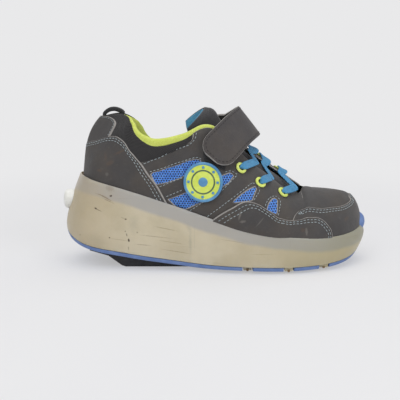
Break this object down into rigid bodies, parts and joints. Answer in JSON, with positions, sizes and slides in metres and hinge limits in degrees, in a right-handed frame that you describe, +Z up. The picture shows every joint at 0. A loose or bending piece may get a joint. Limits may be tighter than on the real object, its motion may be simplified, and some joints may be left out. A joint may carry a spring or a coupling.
{
  "type": "roller_shoe",
  "caption": "Child's wheeled sneaker with a wedge sole, laced upper with instep strap and a heel wheel that folds away at the press of a button",
  "frame": {"origin": "centre of the part's footprint on the floor, with the wheel folded away", "axes": "+X from heel to toe, -Y to the outer side of this right shoe, +Z up from the floor"},
  "size_m": [0.2328, 0.0853, 0.1198],
  "materials": {
    "sole_clear": "translucent satin",
    "tread_blue": "matte",
    "nubuck_grey": "napped matte",
    "mesh_blue": "woven",
    "mesh_black": "fine ribbed",
    "lining_lime": "soft knit",
    "tongue_black": "soft knit",
    "lace_blue": "woven",
    "webbing_black": "woven",
    "eyelet_lime": "gloss",
    "badge": "satin",
    "board_tan": "matte",
    "insole_grey": "soft",
    "housing_black": "matte",
    "steel": "brushed",
    "arm_alloy": "satin",
    "bearing_steel": "polished",
    "wheel_cream": "satin",
    "button_white": "translucent gloss"
  },
  "bodies": {
    "shoe": {"midsole": "sole_clear", "outsole_heel": "tread_blue", "outsole_pads": "tread_blue", "outsole_toe": "tread_blue", "lasting_board": "board_tan", "insole": "insole_grey", "lining": "lining_lime", "side_mesh_outer": "mesh_blue", "side_mesh_inner": "mesh_blue", "toe_cap": "nubuck_grey", "toe_bumper": "tread_blue", "vamp": "nubuck_grey", "mudguard_outer": "nubuck_grey", "mudguard_inner": "nubuck_grey", "quarter_outer": "nubuck_grey", "quarter_inner": "nubuck_grey", "heel_counter": "nubuck_grey", "collar_outer": "mesh_black", "collar_inner": "mesh_black", "heel_tab": "nubuck_grey", "pull_loop": "webbing_black", "tongue": "tongue_black", "tongue_lining": "lace_blue", "eyelets": "eyelet_lime", "lace": "lace_blue", "side_badge": "badge", "loop_patch": "webbing_black", "strap_base": "nubuck_grey", "wheel_housing": "housing_black", "housing_screws": "steel", "pivot_pin": "steel", "arm_spring": "steel", "button_spring": "steel"},
    "arm": {"swing_arm": "arm_alloy", "wheel_axle": "steel", "axle_nut": "steel", "axle_washers": "steel", "bearing_inner_rings": "bearing_steel", "bearing_spacer": "steel"},
    "wheel": {"wheel_hub": "housing_black", "wheel_tyre": "wheel_cream", "bearing_outer_rings": "bearing_steel", "bearing_balls": "bearing_steel"},
    "button": {"release_button": "button_white", "latch_slide": "housing_black"},
    "strap": {"strap_flap": "nubuck_grey", "hook_patch": "webbing_black"}
  },
  "joints": [
    {"name": "arm_swing", "type": "hinge", "parent": "shoe", "child": "arm", "pos_m": [-0.074, 0, 0.03397], "axis": [0, 1, 0], "range_deg": [0, 64.5], "deforming": ["arm_spring"]},
    {"name": "wheel_spin", "type": "hinge", "parent": "arm", "child": "wheel", "pos_m": [-0.04149, 0, 0.0185], "axis": [0, 1, 0], "continuous": true},
    {"name": "button_press", "type": "slide", "parent": "shoe", "child": "button", "axis": [1, 0, 0], "range_m": [0, 0.004], "stiffness_N_per_m": 400, "springref_m": -0.002, "deforming": ["button_spring"]},
    {"name": "strap_open", "type": "hinge", "parent": "shoe", "child": "strap", "pos_m": [0.02468, 0, 0.10923], "axis": [-0.62, 0, 0.7846], "range_deg": [0, 110]}
  ]
}
